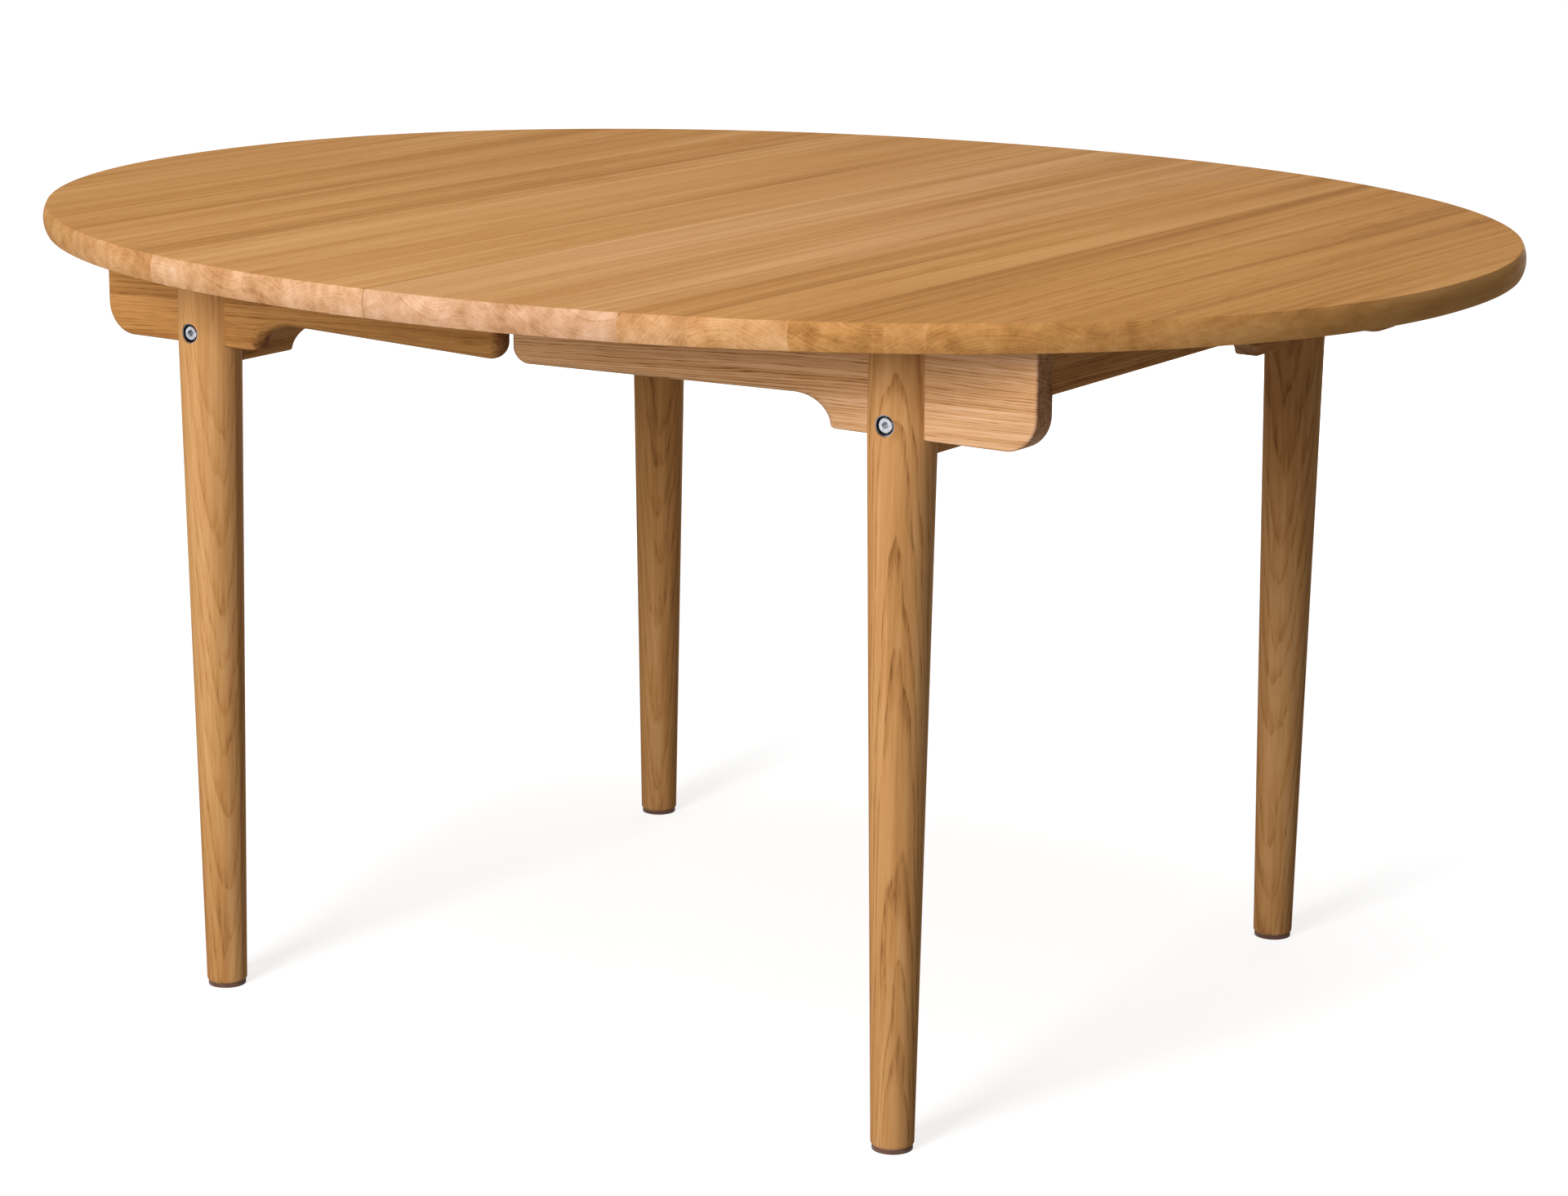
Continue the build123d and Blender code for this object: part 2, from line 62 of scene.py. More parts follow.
def add_node(tree, kind, inputs=(), **settings):
    """A shader node with its settings, and with each input set to a value or joined to a socket."""
    node = tree.nodes.new(kind)
    for setting, value in settings.items():
        setattr(node, setting, value)
    for name, value in dict(inputs).items():
        socket = node.inputs[name]
        if isinstance(value, bpy.types.NodeSocket):
            tree.links.new(value, socket)
        else:
            socket.default_value = value
    return node


def reckon(tree, operation, *values):
    """The result of a Math node."""
    return add_node(tree, "ShaderNodeMath", enumerate(values), operation=operation).outputs[0]


def spread(tree, socket, low, high, to_low=0.0, to_high=1.0):
    """A value held between two limits and stretched to another range."""
    inputs = enumerate((socket, low, high, to_low, to_high))
    return add_node(tree, "ShaderNodeMapRange", inputs, clamp=True).outputs[0]


def stretched(tree, place, across, along):
    """A place in metres, divided by a size across the fibres and a size along them."""
    scale = (1 / across, 1 / across, 1 / along)
    return add_node(tree, "ShaderNodeVectorMath", {0: place, 1: scale}, operation="MULTIPLY").outputs[0]


def streaks(tree, place, across, along, detail=2.0):
    """Noise from 0 to 1, drawn out along the fibres."""
    inputs = {"Vector": stretched(tree, place, across, along), "Scale": 1.0, "Detail": detail}
    return add_node(tree, "ShaderNodeTexNoise", inputs).outputs["Fac"]


def uneven(tree, place, across, along, detail=2.0):
    """The same noise, from -0.5 to 0.5."""
    return reckon(tree, "SUBTRACT", streaks(tree, place, across, along, detail), 0.5)


def oak_colours(tree, tone):
    """The colour of oiled oak, from its dark pores at 0 to its palest fibres at 1."""
    ramp = add_node(tree, "ShaderNodeValToRGB", {"Fac": tone})
    shades = ((0.110, 0.042, 0.012), (0.275, 0.115, 0.030), (0.485, 0.232, 0.070),
              (0.635, 0.345, 0.130), (0.750, 0.480, 0.240))
    stops = ramp.color_ramp.elements
    while len(stops) < len(shades):
        stops.new(0.5)
    for k, (stop, shade) in enumerate(zip(stops, shades)):
        stop.position = k / (len(shades) - 1)
        stop.color = (*shade, 1.0)
    return ramp.outputs["Color"]


def make_oak_grain():
    """Solid oak as a node group. Place is in metres from the heart of the tree, fibres along Z.
    End is 1 where the surface cuts across the fibres and 0 where it runs along them."""
    grain = bpy.data.node_groups.new("oak_grain", "ShaderNodeTree")
    for name, kind in (("Place", "Vector"), ("End", "Float"), ("Board", "Float"), ("Ring width", "Float"),
                       ("Figure", "Float"), ("Streaks", "Float"), ("Tone", "Float"), ("End tone and painted shade", "Float"),
                       ("Blush", "Float")):
        grain.interface.new_socket(name, in_out="INPUT", socket_type="NodeSocket" + kind)
    for name, kind in (("Colour", "Color"), ("Roughness", "Float"), ("Height", "Float")):
        grain.interface.new_socket(name, in_out="OUTPUT", socket_type="NodeSocket" + kind)
    given = add_node(grain, "NodeGroupInput").outputs
    end = given["End"]
    shift = add_node(grain, "ShaderNodeCombineXYZ", {"X": given["Board"], "Z": given["Board"]}).outputs[0]
    place = add_node(grain, "ShaderNodeVectorMath", {0: given["Place"], 1: shift}, operation="ADD")
    place = place.outputs[0]

    # growth rings, bent by the tree's slow wander and by small waves
    wander = uneven(grain, place, 0.16, 0.9, 1.0)
    wave = uneven(grain, place, 0.020, 0.13)
    axes = add_node(grain, "ShaderNodeSeparateXYZ", {0: given["Place"]}).outputs
    x = reckon(grain, "MULTIPLY_ADD", wander, 0.060, axes["X"])
    y = reckon(grain, "MULTIPLY_ADD", wander, 0.040, axes["Y"])
    squares = reckon(grain, "ADD", reckon(grain, "MULTIPLY", x, x), reckon(grain, "MULTIPLY", y, y))
    radius = reckon(grain, "SQRT", squares)
    bent = reckon(grain, "MULTIPLY_ADD", wave, 0.006, radius)
    years = reckon(grain, "DIVIDE", bent, given["Ring width"])
    weather = add_node(grain, "ShaderNodeTexNoise", {"Scale": 0.35, "Detail": 1.0}, noise_dimensions="1D")
    grain.links.new(years, weather.inputs["W"])
    years = reckon(grain, "MULTIPLY_ADD", weather.outputs["Fac"], 2.4, years)
    season = reckon(grain, "FRACT", years)
    early = reckon(grain, "SUBTRACT", 1.0, spread(grain, season, 0.05, 0.55))
    early = reckon(grain, "MULTIPLY", early, spread(grain, season, 0.0, 0.06))

    # rays: thin pale sheets that run out from the heart
    turn = reckon(grain, "ARCTAN2", y, x)
    sheets = add_node(grain, "ShaderNodeCombineXYZ", {
        "X": reckon(grain, "MULTIPLY", turn, 95.0),
        "Y": reckon(grain, "MULTIPLY", radius, 45.0),
        "Z": reckon(grain, "MULTIPLY", reckon(grain, "ADD", axes["Z"], given["Board"]), 60.0),
    }).outputs[0]
    sheets = add_node(grain, "ShaderNodeTexNoise", {"Vector": sheets, "Scale": 1.0, "Detail": 1.0})
    rays = spread(grain, sheets.outputs["Fac"], 0.55, 0.72)

    # pores: short dark tubes along the fibres, most of them in the early wood
    tubes = add_node(grain, "ShaderNodeTexVoronoi", {"Vector": stretched(grain, place, 0.0011, 0.020),
                                                     "Scale": 1.0}).outputs["Distance"]
    tubes = spread(grain, tubes, 0.15, 0.50, 1.0, 0.0)
    dashes = spread(grain, streaks(grain, place, 0.0030, 0.030), 0.36, 0.62)
    crowd = reckon(grain, "MULTIPLY_ADD", early, 0.80, 0.20)
    pores = reckon(grain, "MULTIPLY", reckon(grain, "MULTIPLY", tubes, crowd), dashes)
    lines = reckon(grain, "MULTIPLY", early, reckon(grain, "MULTIPLY_ADD", dashes, 0.65, 0.35))

    # tone: broad bands, fine fibres, rings, rays and pores, and blotches in end grain
    wide_band = uneven(grain, place, 0.030, 0.9, 1.0)
    narrow_band = uneven(grain, place, 0.0075, 0.55, 1.0)
    band = reckon(grain, "MULTIPLY_ADD", narrow_band, 0.75, wide_band)
    fibre = uneven(grain, place, 0.0030, 0.22, 3.0)
    blotch = uneven(grain, place, 0.022, 0.05)
    # end grain's own tone, and on the aprons a painted shade that darkens their cut ends and coves
    tone = reckon(grain, "MULTIPLY_ADD", end, given["End tone and painted shade"], given["Tone"])
    tone = reckon(grain, "MULTIPLY_ADD", band, 0.40, tone)
    tone = reckon(grain, "MULTIPLY_ADD", fibre, given["Streaks"], tone)
    figure = reckon(grain, "MULTIPLY", given["Figure"], reckon(grain, "MULTIPLY_ADD", end, -0.85, 1.0))
    ring_depth = reckon(grain, "MULTIPLY_ADD", end, 0.144, figure)
    tone = reckon(grain, "SUBTRACT", tone, reckon(grain, "MULTIPLY", lines, ring_depth))
    tone = reckon(grain, "MULTIPLY_ADD", reckon(grain, "MULTIPLY", blotch, end), 0.45, tone)
    ray_light = reckon(grain, "MULTIPLY_ADD", end, 0.03, 0.03)
    tone = reckon(grain, "ADD", tone, reckon(grain, "MULTIPLY", rays, ray_light))
    pore_depth = reckon(grain, "MULTIPLY_ADD", given["Streaks"], -0.50, -0.03)
    tone = reckon(grain, "ADD", tone, reckon(grain, "MULTIPLY", pores, pore_depth))

    # blush: rosy wood, most of it seen in end grain
    blush = reckon(grain, "MULTIPLY", given["Blush"], reckon(grain, "MULTIPLY_ADD", end, 0.88, 0.12))
    rosy = add_node(grain, "ShaderNodeMix", {"Factor": blush}, data_type="RGBA", blend_type="MULTIPLY")
    grain.links.new(oak_colours(grain, tone), rosy.inputs[6])
    rosy.inputs[7].default_value = (1.0, 1.12, 1.90, 1.0)

    # gloss and relief: dull early wood, glossier rays, sunken pores
    rough = reckon(grain, "MULTIPLY_ADD", fibre, 0.20, 0.60)
    rough = reckon(grain, "MULTIPLY_ADD", rays, -0.06, rough)
    rough = reckon(grain, "MULTIPLY_ADD", lines, 0.12, rough)
    height = reckon(grain, "MULTIPLY_ADD", pores, -1.0, reckon(grain, "MULTIPLY", fibre, 0.35))
    height = reckon(grain, "MULTIPLY_ADD", lines, -0.30, height)
    result = add_node(grain, "NodeGroupOutput").inputs
    for name, socket in (("Colour", rosy.outputs[2]), ("Roughness", rough), ("Height", height)):
        grain.links.new(socket, result[name])
    return grain


oak_grain = make_oak_grain()
turned_to_z = {"X": (0, pi / 2, 0), "Y": (pi / 2, 0, 0), "Z": (0, 0, 0)}


def board_shift(name):
    """How far to move one board's figure from the others', in metres, the same in every run."""
    number = 7
    for letter in name:
        number = (31 * number + ord(letter)) % 1000003
    return 0.001 * (number % 9973)


def new_material(name):
    """A material without any nodes yet, and its node tree."""
    material = bpy.data.materials.new(name)
    material.use_nodes = True
    material.node_tree.nodes.clear()
    return material, material.node_tree


def oiled_oak(name, fibres, heart, ring, figure, streaky, tone, end_tone_and_shade, blush, lean=(0, 0, 0)):
    """Oiled oak for one board: its fibres' direction, where the heart of its tree lies and how wide
    the tree's rings are, in mm, how dark the early wood is, how uneven the fibres are, how pale the
    board is, what end grain adds to that (on the aprons a painted shade that darkens their ends and
    coves), and how rosy it is. lean turns the fibres a little out of their direction, in radians."""
    oak, tree = new_material(name)
    known = add_node(tree, "ShaderNodeTexCoord").outputs
    heart_place = tuple(mm * c for c in heart)
    from_heart = add_node(tree, "ShaderNodeVectorMath", {0: known["Object"], 1: heart_place},
                          operation="SUBTRACT").outputs[0]
    turned = tuple(a + b for a, b in zip(turned_to_z[fibres], lean))
    along = add_node(tree, "ShaderNodeVectorRotate", {"Vector": from_heart, "Rotation": turned},
                     rotation_type="EULER_XYZ").outputs[0]
    facing = add_node(tree, "ShaderNodeVectorRotate", {"Vector": known["Normal"], "Rotation": turned},
                      rotation_type="EULER_XYZ").outputs[0]
    facing = add_node(tree, "ShaderNodeSeparateXYZ", {0: facing}).outputs["Z"]
    end = spread(tree, reckon(tree, "ABSOLUTE", facing), 0.35, 0.85)
    cut = add_node(tree, "ShaderNodeGroup", node_tree=oak_grain)
    for key, value in (("Board", board_shift(name)), ("Ring width", ring * mm), ("Figure", figure),
                       ("Streaks", streaky), ("Tone", tone), ("End tone and painted shade", end_tone_and_shade), ("Blush", blush)):
        cut.inputs[key].default_value = value
    tree.links.new(along, cut.inputs["Place"])
    tree.links.new(end, cut.inputs["End"])
    relief = add_node(tree, "ShaderNodeBump", {"Strength": 0.25, "Distance": 0.0003,
                                               "Height": cut.outputs["Height"]})
    surface = add_node(tree, "ShaderNodeBsdfPrincipled", {
        "Base Color": cut.outputs["Colour"], "Roughness": cut.outputs["Roughness"],
        "Normal": relief.outputs["Normal"], "IOR": 1.47, "Specular IOR Level": 0.012})
    add_node(tree, "ShaderNodeOutputMaterial", {"Surface": surface.outputs[0]})
    return oak


def rim_profile():
    """Inset and height of the rim's face, from the underside's edge up to the top face's edge."""
    half = (top_face - underside) / 2
    bow_radius = (half * half + rim_bow * rim_bow) / (2 * rim_bow)
    ease_inset = bow_radius - sqrt((bow_radius - rim_ease) ** 2 - (half - rim_ease) ** 2)
    tangent = asin((half - rim_ease) / (bow_radius - rim_ease))
    upper = []
    for k in range(1, 6):
        angle = tangent * k / 5
        upper.append((bow_radius - bow_radius * cos(angle), bow_radius * sin(angle)))
    for k in range(1, 5):
        angle = tangent + (pi / 2 - tangent) * k / 4
        upper.append((ease_inset - rim_ease * cos(angle), half - rim_ease + rim_ease * sin(angle)))
    lower = [(inset, -height) for inset, height in reversed(upper)]
    middle = (underside + top_face) / 2
    return [(inset, middle + height) for inset, height in lower + [(0.0, 0.0)] + upper]


def oval_blank():
    """The whole oval top as one closed mesh, before it is cut into staves."""
    blank = bmesh.new()
    profile = rim_profile()
    rows = [[] for _ in profile]
    for k in range(outline_points):
        c, s = cos(2 * pi * k / outline_points), sin(2 * pi * k / outline_points)
        x = half_length * copysign(abs(c) ** (2 / roundness), c)
        y = half_width * copysign(abs(s) ** (2 / roundness), s)
        out_x = copysign(abs(x / half_length) ** (roundness - 1), x) / half_length
        out_y = copysign(abs(y / half_width) ** (roundness - 1), y) / half_width
        size = hypot(out_x, out_y)
        for row, (inset, height) in zip(rows, profile):
            row.append(blank.verts.new((x - inset * out_x / size, y - inset * out_y / size, height)))
    for lower, upper in zip(rows, rows[1:]):
        for k in range(outline_points):
            n = (k + 1) % outline_points
            blank.faces.new((lower[k], lower[n], upper[n], upper[k]))
    blank.faces.new(rows[0][::-1])
    blank.faces.new(rows[-1])
    return blank


def saw(blank, x, keep):
    """Cut the mesh across at x and keep the side below it (-1) or above it (1)."""
    everything = blank.verts[:] + blank.edges[:] + blank.faces[:]
    bmesh.ops.bisect_plane(blank, geom=everything, plane_co=(x, 0, 0), plane_no=(-keep, 0, 0),
                           clear_outer=True)
    cut = [e for e in blank.edges if e.is_boundary]
    bmesh.ops.holes_fill(blank, edges=cut, sides=0)


def finish_mesh(name, blank, oak, soft_angle=0.6):
    """Turn a mesh into a piece with its material, smooth but for the edges sharper than soft_angle."""
    bmesh.ops.recalc_face_normals(blank, faces=blank.faces)
    for face in blank.faces:
        face.smooth = True
    for edge in blank.edges:
        edge.smooth = edge.calc_face_angle(0.0) < soft_angle
    mesh = bpy.data.meshes.new(name)
    blank.to_mesh(mesh)
    blank.free()
    mesh.materials.append(oak)
    piece = bpy.data.objects.new(name, mesh)
    bpy.context.scene.collection.objects.link(piece)
    evened = piece.modifiers.new("flat faces stay flat", "WEIGHTED_NORMAL")
    evened.keep_sharp = True
    return piece


def bore_pin_holes(stave, radius):
    """Drill the four holes of the alignment pins along X into a stave, from the middle joint outwards."""
    bits = bmesh.new()
    for y in pin_places:
        bit = bmesh.ops.create_cone(bits, cap_ends=True, segments=36, radius1=radius, radius2=radius,
                                    depth=2 * pin_hole_depth)["verts"]
        bmesh.ops.rotate(bits, verts=bit, matrix=Matrix.Rotation(pi / 2, 3, "Y"))
        bmesh.ops.translate(bits, verts=bit, vec=(0, y, (underside + top_face) / 2))
    mesh = bpy.data.meshes.new("drill_bits")
    bits.to_mesh(mesh)
    bits.free()
    drill = bpy.data.objects.new("drill_bits", mesh)
    bpy.context.scene.collection.objects.link(drill)
    cut = stave.modifiers.new("pin holes", "BOOLEAN")
    cut.object, cut.operation, cut.solver = drill, "DIFFERENCE", "EXACT"
    stave.modifiers.move(len(stave.modifiers) - 1, 0)
    solid = stave.evaluated_get(bpy.context.evaluated_depsgraph_get())
    drilled = bpy.data.meshes.new_from_object(solid)
    stave.modifiers.clear()
    uncut = stave.data
    stave.data = drilled
    bpy.data.meshes.remove(uncut)
    bpy.data.objects.remove(drill)
    bpy.data.meshes.remove(mesh)


# Staves from the seam outwards: width, then the heart of the stave's tree beside and above the
# stave's middle, all in mm, then its tone and how rosy it is.
left_staves = (
    (89, -12, -62, 0.57, 0.80),
    (47, 30, -95, 0.52, 0.70),
    (75, -8, 58, 0.55, 0.60),
    (50, 26, -120, 0.60, 0.60),
    (80, 10, -70, 0.51, 0.30),
    (71, -34, 84, 0.57, 0.35),
    (62, 12, -66, 0.53, 0.20),
    (78, -60, -60, 0.50, 0.10),
    (55, 6, 90, 0.56, 0.30),
    (93, 24, -80, 0.53, 0.20),
)
right_staves = (
    (87, 16, 60, 0.59, 1.80),
    (68, -28, -88, 0.55, 1.40),
    (76, 8, 70, 0.58, 1.60),
    (55, 70, -44, 0.52, 0.50),
    (74, -10, -58, 0.55, 0.30),
    (65, 22, 96, 0.47, 0.05),
    (28, -50, 64, 0.51, 0.05),
    (95, 4, -72, 0.48, 0.00),
    (60, -26, 76, 0.48, 0.05),
    (92, 18, -90, 0.52, 0.05),
)
stave_ring_width = 2.4  # mm
stave_figure = 0.040
stave_streaks = 0.13
stave_end_tone = 0.05
middle_height = (underside + top_face) / 2 / mm
uncut_top = oval_blank()
for half, out, staves in (("left", -1, left_staves), ("right", 1, right_staves)):
    reach = 0.0
    for number, (width, heart_beside, heart_above, tone, blush) in enumerate(staves, start=1):
        stave = uncut_top.copy()
        inner, reach = reach, reach + width
        saw(stave, out * (inner * mm or seam_gap / 2), out)
        if number < len(staves):
            saw(stave, out * reach * mm, -out)
        name = f"stave_{half}_{number}"
        heart = (out * (inner + width / 2 + heart_beside), 0, middle_height + heart_above)
        oak = oiled_oak(f"oiled_oak_{name}", "Y", heart, stave_ring_width, stave_figure, stave_streaks,
                        tone, stave_end_tone, blush)
        piece = finish_mesh(name, stave, oak)
        if number == 1:
            bore_pin_holes(piece, pin_hole_radius[half])
        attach(piece, f"{half}_half")
        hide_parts(f"top_{half}")
uncut_top.free()


# ================================================================ side aprons
# Four oak boards on edge, one long and one short on each side, with rounded outer ends and a cove
# inside each leg. Their lower edges, coves and inner ends are rounded over. They are planed and oiled.
def give_finish(finish, *nodes):
    """Give solid pieces of the frame their material."""
    for node in nodes:
        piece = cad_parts[node]
        while len(piece.material_slots) < 1:
            piece.data.materials.append(None)
        for held in piece.material_slots:
            held.material = finish


# Boards: the heart of its tree beside and above the board's middle and the tree's ring width, all
# in mm, then how dark the early wood is, how uneven the fibres are, the tone, and how rosy it is.
apron_y = 344
apron_height = 650
# painted shade: the aprons' cut ends and coves are drawn darker than the rest of their oak
apron_end_painted_shade = -0.20
apron_lean = (0, 0.035, 0)
for board, beside, above, ring, figure, streaky, tone, blush in (
    ("right_front", 26, -210, 2.1, 0.40, 0.50, 0.71, 4.10),
    ("left_front", -60, -120, 3.4, 0.16, 0.34, 0.43, 0.40),
    ("left_back", 34, 140, 2.3, 0.34, 0.46, 0.64, 3.00),
    ("right_back", -55, -110, 2.9, 0.20, 0.38, 0.52, 1.00),
):
    away = -1 if "front" in board else 1
    heart = (0, away * (apron_y + beside), apron_height + above)
    oak = oiled_oak(f"oiled_oak_apron_{board}", "X", heart, ring, figure, streaky, tone, apron_end_painted_shade,
                    blush, apron_lean)
    give_finish(oak, f"apron_{board}")


# ================================================================ end rails
# One oak rail across each end, between the aprons, with a cove near each leg.
rail_ring_width = 2.8  # mm
rail_figure = 0.28
rail_streaks = 0.45
rail_tone = 0.58
rail_end_tone = -0.15
rail_blush = 1.20
for end, heart in (("left", (-420, 0, 680)), ("right", (430, 0, 700))):
    oak = oiled_oak(f"oiled_oak_rail_{end}", "Y", heart, rail_ring_width, rail_figure, rail_streaks,
                    rail_tone, rail_end_tone, rail_blush)
    give_finish(oak, f"end_rail_{end}")


# ================================================================ legs
# Turned from solid oak, with a long taper. The fibres run down the leg, and the inner side of its
# head is flattened and lapped over the apron.
# Legs: the heart of its tree beside the leg along the table and across it, in mm, how dark the
# early wood is, the tone, how rosy it is, and how far the fibres lean.
leg_ring_width = 3.4  # mm
leg_streaks = 0.30
leg_end_tone = 0.0
for corner, beside, outward, figure, tone, blush, lean in (
    ("left_front", -22, 34, 0.15, 0.59, 1.20, 0.030),
    ("right_front", -20, 30, 0.25, 0.59, 1.60, -0.034),
    ("left_back", -30, 26, 0.15, 0.54, 1.20, 0.026),
    ("right_back", -24, 30, 0.18, 0.54, 1.60, 0.030),
):
    low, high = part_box(f"leg_{corner}")
    heart = (1000 * (low.x + high.x) / 2 + beside, 1000 * (low.y + high.y) / 2 + outward, 450)
    oak = oiled_oak(f"oiled_oak_leg_{corner}", "Z", heart, leg_ring_width, figure, leg_streaks, tone,
                    leg_end_tone, blush, (lean, lean, 0))
    give_finish(oak, f"leg_{corner}")


# ================================================================ foot pads
# A disc of pressed brown felt under each leg, glued on. The felt is a mat of short hairs in clumps.
def noise(tree, place, scale, detail, distortion=0.0):
    """Noise from 0 to 1, with so many waves to the metre."""
    inputs = {"Vector": place, "Scale": scale, "Detail": detail, "Distortion": distortion}
    return add_node(tree, "ShaderNodeTexNoise", inputs).outputs["Fac"]


def two_shades(tree, amount, low, high, dark, pale):
    """A colour that goes from dark to pale as an amount goes from low to high."""
    ramp = add_node(tree, "ShaderNodeValToRGB", {"Fac": amount})
    for stop, position, shade in zip(ramp.color_ramp.elements, (low, high), (dark, pale)):
        stop.position = position
        stop.color = (*shade, 1)
    return ramp.outputs["Color"]


def pressed_felt():
    """Brown felt: fine hairs, darker between the clumps."""
    felt, tree = new_material("brown_felt")
    spot = add_node(tree, "ShaderNodeTexCoord").outputs["Object"]
    hairs = noise(tree, spot, 1900.0, 4.0, 1.2)
    clumps = noise(tree, spot, 160.0, 2.0)
    mixed = reckon(tree, "MULTIPLY_ADD", hairs, 0.7, reckon(tree, "MULTIPLY", clumps, 0.3))
    brown = two_shades(tree, mixed, 0.32, 0.70, (0.060, 0.022, 0.012), (0.210, 0.085, 0.050))
    relief = add_node(tree, "ShaderNodeBump", {"Strength": 0.6, "Distance": 0.0004, "Height": hairs})
    surface = add_node(tree, "ShaderNodeBsdfPrincipled", {
        "Base Color": brown, "Roughness": spread(tree, hairs, 0.2, 0.8, 0.85, 0.98),
        "Normal": relief.outputs["Normal"], "Sheen Weight": 0.25, "Sheen Roughness": 0.6})
    add_node(tree, "ShaderNodeOutputMaterial", {"Surface": surface.outputs[0]})
    return felt


give_finish(pressed_felt(), *(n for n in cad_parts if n.startswith("foot_pad_")))


# ================================================================ leg bolts, cups and barrel nuts
# A polished steel cap screw through each leg, its head deep in a coned steel cup that is let into
# the wood, and a zinc-plated barrel nut in the end rail that it screws into.
def turned_metal(name, colour, dark, roughness, scratches):
    """Metal with fine marks, a slight change of colour, and duller places where it has been handled."""
    metal, tree = new_material(name)
    spot = add_node(tree, "ShaderNodeTexCoord").outputs["Object"]
    cloud = noise(tree, spot, 260.0, 3.0)
    marks = noise(tree, spot, 3200.0, 2.0, 3.0)
    shade = two_shades(tree, cloud, 0.3, 0.7, dark, colour)
    marked = spread(tree, marks, 0.4, 0.8, roughness - 0.06, roughness + 0.10)
    rough = reckon(tree, "MULTIPLY_ADD", cloud, 0.16, marked)
    relief = add_node(tree, "ShaderNodeBump", {"Strength": scratches, "Distance": 0.00005, "Height": marks})
    surface = add_node(tree, "ShaderNodeBsdfPrincipled", {
        "Base Color": shade, "Roughness": rough, "Normal": relief.outputs["Normal"], "Metallic": 1.0})
    add_node(tree, "ShaderNodeOutputMaterial", {"Surface": surface.outputs[0]})
    return metal


give_finish(turned_metal("polished_bolt_steel", (0.62, 0.63, 0.66), (0.30, 0.31, 0.34), 0.17, 0.10),
            "leg_bolts_left", "leg_bolts_right")
give_finish(turned_metal("dark_cup_steel", (0.40, 0.41, 0.44), (0.25, 0.26, 0.28), 0.15, 0.10),
            "bolt_cups_left", "bolt_cups_right")
give_finish(turned_metal("zinc_nut", (0.60, 0.62, 0.63), (0.46, 0.48, 0.50), 0.30, 0.25),
            "barrel_nuts_left", "barrel_nuts_right")


# ================================================================ dowels and alignment pins
# Straight beech pegs: glued ones that keep each leg from turning, and the ones in the seam that line
# the two halves up when the table is closed.
def plain_beech(name, fibres, tone):
    """Unoiled beech: close grained and pale, with small dark flecks along the fibres."""
    beech, tree = new_material(name)
    spot = add_node(tree, "ShaderNodeTexCoord").outputs["Object"]
    along = add_node(tree, "ShaderNodeVectorRotate", {"Vector": spot, "Rotation": turned_to_z[fibres]},
                     rotation_type="EULER_XYZ").outputs[0]
    band = streaks(tree, along, 0.012, 0.5)
    fibre = streaks(tree, along, 0.0011, 0.03, 3.0)
    flecks = add_node(tree, "ShaderNodeTexVoronoi", {"Vector": stretched(tree, along, 0.0016, 0.006),
                                                     "Scale": 1.0}).outputs["Distance"]
    flecks = spread(tree, flecks, 0.10, 0.30, 1.0, 0.0)
    shade = reckon(tree, "MULTIPLY_ADD", band, 0.7, reckon(tree, "MULTIPLY_ADD", fibre, 0.35, tone - 0.5))
    shade = reckon(tree, "MULTIPLY_ADD", flecks, -0.28, shade)
    beige = two_shades(tree, shade, 0.05, 0.95, (0.330, 0.170, 0.082), (0.700, 0.480, 0.290))
    relief = add_node(tree, "ShaderNodeBump", {"Strength": 0.3, "Distance": 0.0002, "Height": fibre})
    surface = add_node(tree, "ShaderNodeBsdfPrincipled", {
        "Base Color": beige, "Roughness": spread(tree, fibre, 0.2, 0.8, 0.52, 0.66),
        "Normal": relief.outputs["Normal"]})
    add_node(tree, "ShaderNodeOutputMaterial", {"Surface": surface.outputs[0]})
    return beech


give_finish(plain_beech("beech_dowels", "Y", 0.5), "corner_dowels_left", "corner_dowels_right")
give_finish(plain_beech("beech_alignment_pins", "X", 0.45), "alignment_pins")


# ================================================================ cleats and their screws
# Square beech battens screwed into the angle between the top and its frame, with countersunk
# zinc-plated screws.
def nodes_named(start):
    """The names of the frame's nodes that begin in one way."""
    return [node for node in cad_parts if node.startswith(start)]


give_finish(plain_beech("beech_apron_cleats", "X", 0.52), *nodes_named("apron_cleat_"))
give_finish(plain_beech("beech_rail_cleats", "Y", 0.48), *nodes_named("rail_cleat_"))
zinc_screws = turned_metal("zinc_screws", (0.62, 0.61, 0.57), (0.45, 0.44, 0.40), 0.32, 0.25)
give_finish(zinc_screws, *nodes_named("cleat_screws_"))


# ================================================================ draw runners
# Waxed beech. Two are screwed under each half, and two float between them in dovetail grooves,
# joined by a tie. Steel stop pins hold what must stay engaged.
give_finish(plain_beech("waxed_beech_runners", "X", 0.50), *nodes_named("runner_left_"),
            *nodes_named("runner_right_"))
give_finish(plain_beech("waxed_beech_floating_runners", "X", 0.44), *nodes_named("middle_runner_"))
give_finish(plain_beech("beech_tie", "Y", 0.50), "carriage_tie")
give_finish(zinc_screws, *nodes_named("runner_screws_"), "tie_screws")
give_finish(turned_metal("stop_pin_steel", (0.56, 0.57, 0.58), (0.42, 0.43, 0.44), 0.26, 0.2),
            *nodes_named("stop_pins_"))


# ================================================================ studio
# A white floor that runs into a white room, a large soft lamp in front of the table, a wide one
# overhead, a low one behind, and the camera at chest height off the right front corner.
floor_reach = 30
floor_corners = [(floor_reach * x, floor_reach * y, 0) for x, y in ((-1, -1), (1, -1), (1, 1), (-1, 1))]
floor_mesh = bpy.data.meshes.new("floor")
floor_mesh.from_pydata(floor_corners, [], [(0, 1, 2, 3)])
floor = bpy.data.objects.new("floor", floor_mesh)
bpy.context.scene.collection.objects.link(floor)


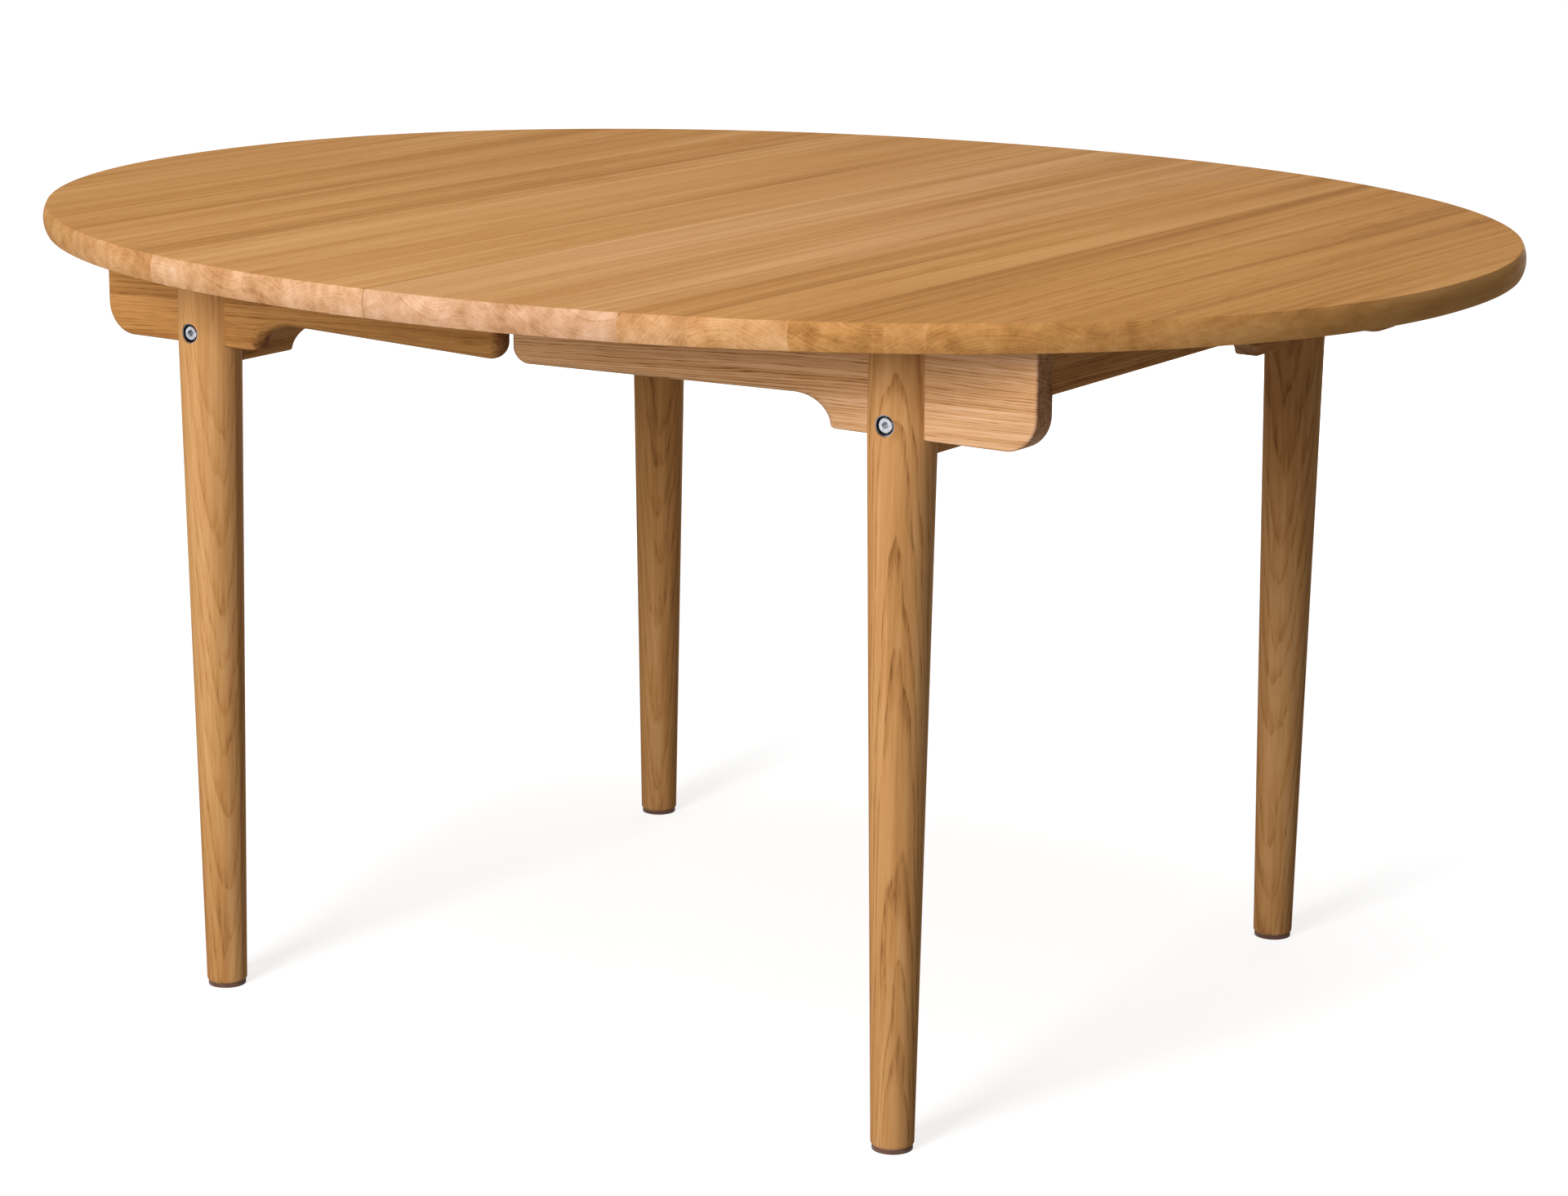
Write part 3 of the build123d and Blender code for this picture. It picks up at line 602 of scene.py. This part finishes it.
def seen_directly(tree):
    """1 for what the camera, a reflection or glass shows, and 0 for what only gives light."""
    path = add_node(tree, "ShaderNodeLightPath").outputs
    shown = reckon(tree, "MAXIMUM", path["Is Camera Ray"], path["Is Glossy Ray"])
    return reckon(tree, "MAXIMUM", shown, path["Is Transmission Ray"])


# The paper is a mid grey that takes the table's shadow, and glows up to white where it is seen.
paper, tree = new_material("white_paper")
spot = add_node(tree, "ShaderNodeTexCoord").outputs["Object"]
far = add_node(tree, "ShaderNodeVectorMath", {0: spot}, operation="LENGTH").outputs["Value"]
glow = reckon(tree, "MULTIPLY", seen_directly(tree), spread(tree, far, 1.2, 3.0, 0.78, 0.98))
matt = add_node(tree, "ShaderNodeBsdfDiffuse", {"Color": (0.45, 0.45, 0.45, 1)})
lit = add_node(tree, "ShaderNodeEmission", {"Color": (1, 1, 1, 1), "Strength": glow})
both = add_node(tree, "ShaderNodeAddShader", {0: matt.outputs[0], 1: lit.outputs[0]})
add_node(tree, "ShaderNodeOutputMaterial", {"Surface": both.outputs[0]})
floor_mesh.materials.append(paper)

# The room gives a weak even light, and is white where it is seen.
room_light = 0.17
world = bpy.data.worlds.new("studio")
world.use_nodes = True
bpy.context.scene.world = world
tree = world.node_tree
tree.nodes.clear()
room = add_node(tree, "ShaderNodeBackground", {
    "Color": (1, 1, 1, 1), "Strength": spread(tree, seen_directly(tree), 0, 1, room_light, 1.0)})
add_node(tree, "ShaderNodeOutputWorld", {"Surface": room.outputs[0]})


def soft_lamp(name, place, aim, width, height, watts):
    """A rectangular soft lamp that points at a place. Places and sizes are in metres."""
    lamp = bpy.data.lights.new(name, "AREA")
    lamp.shape = "RECTANGLE"
    lamp.size, lamp.size_y = width, height
    lamp.energy = watts
    stand = bpy.data.objects.new(name, lamp)
    stand.location = place
    stand.rotation_euler = (Vector(aim) - Vector(place)).to_track_quat("-Z", "Y").to_euler()
    bpy.context.scene.collection.objects.link(stand)


soft_lamp("lamp_front", (0.1, -4.1, 1.9), (0, 0, 0.5), 1.3, 1.8, 165)
soft_lamp("lamp_overhead", (0, -0.2, 3.2), (0, 0, 0.7), 3.0, 2.6, 48)
soft_lamp("lamp_behind", (-1.0, 3.6, 0.42), (0, 0, 0.42), 2.4, 0.5, 45)

camera_place = (2.0372, -3.0079, 1.2237)
camera_turn = 0.58994  # radians, to the left of straight at the table's front
camera_dip = 0.23485  # radians below the level
camera_roll = 0.00753
camera_data = bpy.data.cameras.new("camera")
camera_data.lens = 91.483125
camera_data.sensor_width = 36
camera_data.clip_end = 100
camera = bpy.data.objects.new("camera", camera_data)
aimed = Matrix.Rotation(camera_turn, 4, "Z") @ Matrix.Rotation(pi / 2 - camera_dip, 4, "X")
held = aimed @ Matrix.Rotation(camera_roll, 4, "Z")
camera.matrix_world = Matrix.Translation(camera_place) @ held
bpy.context.scene.collection.objects.link(camera)
bpy.context.scene.camera = camera
bpy.context.scene.view_settings.view_transform = "Standard"
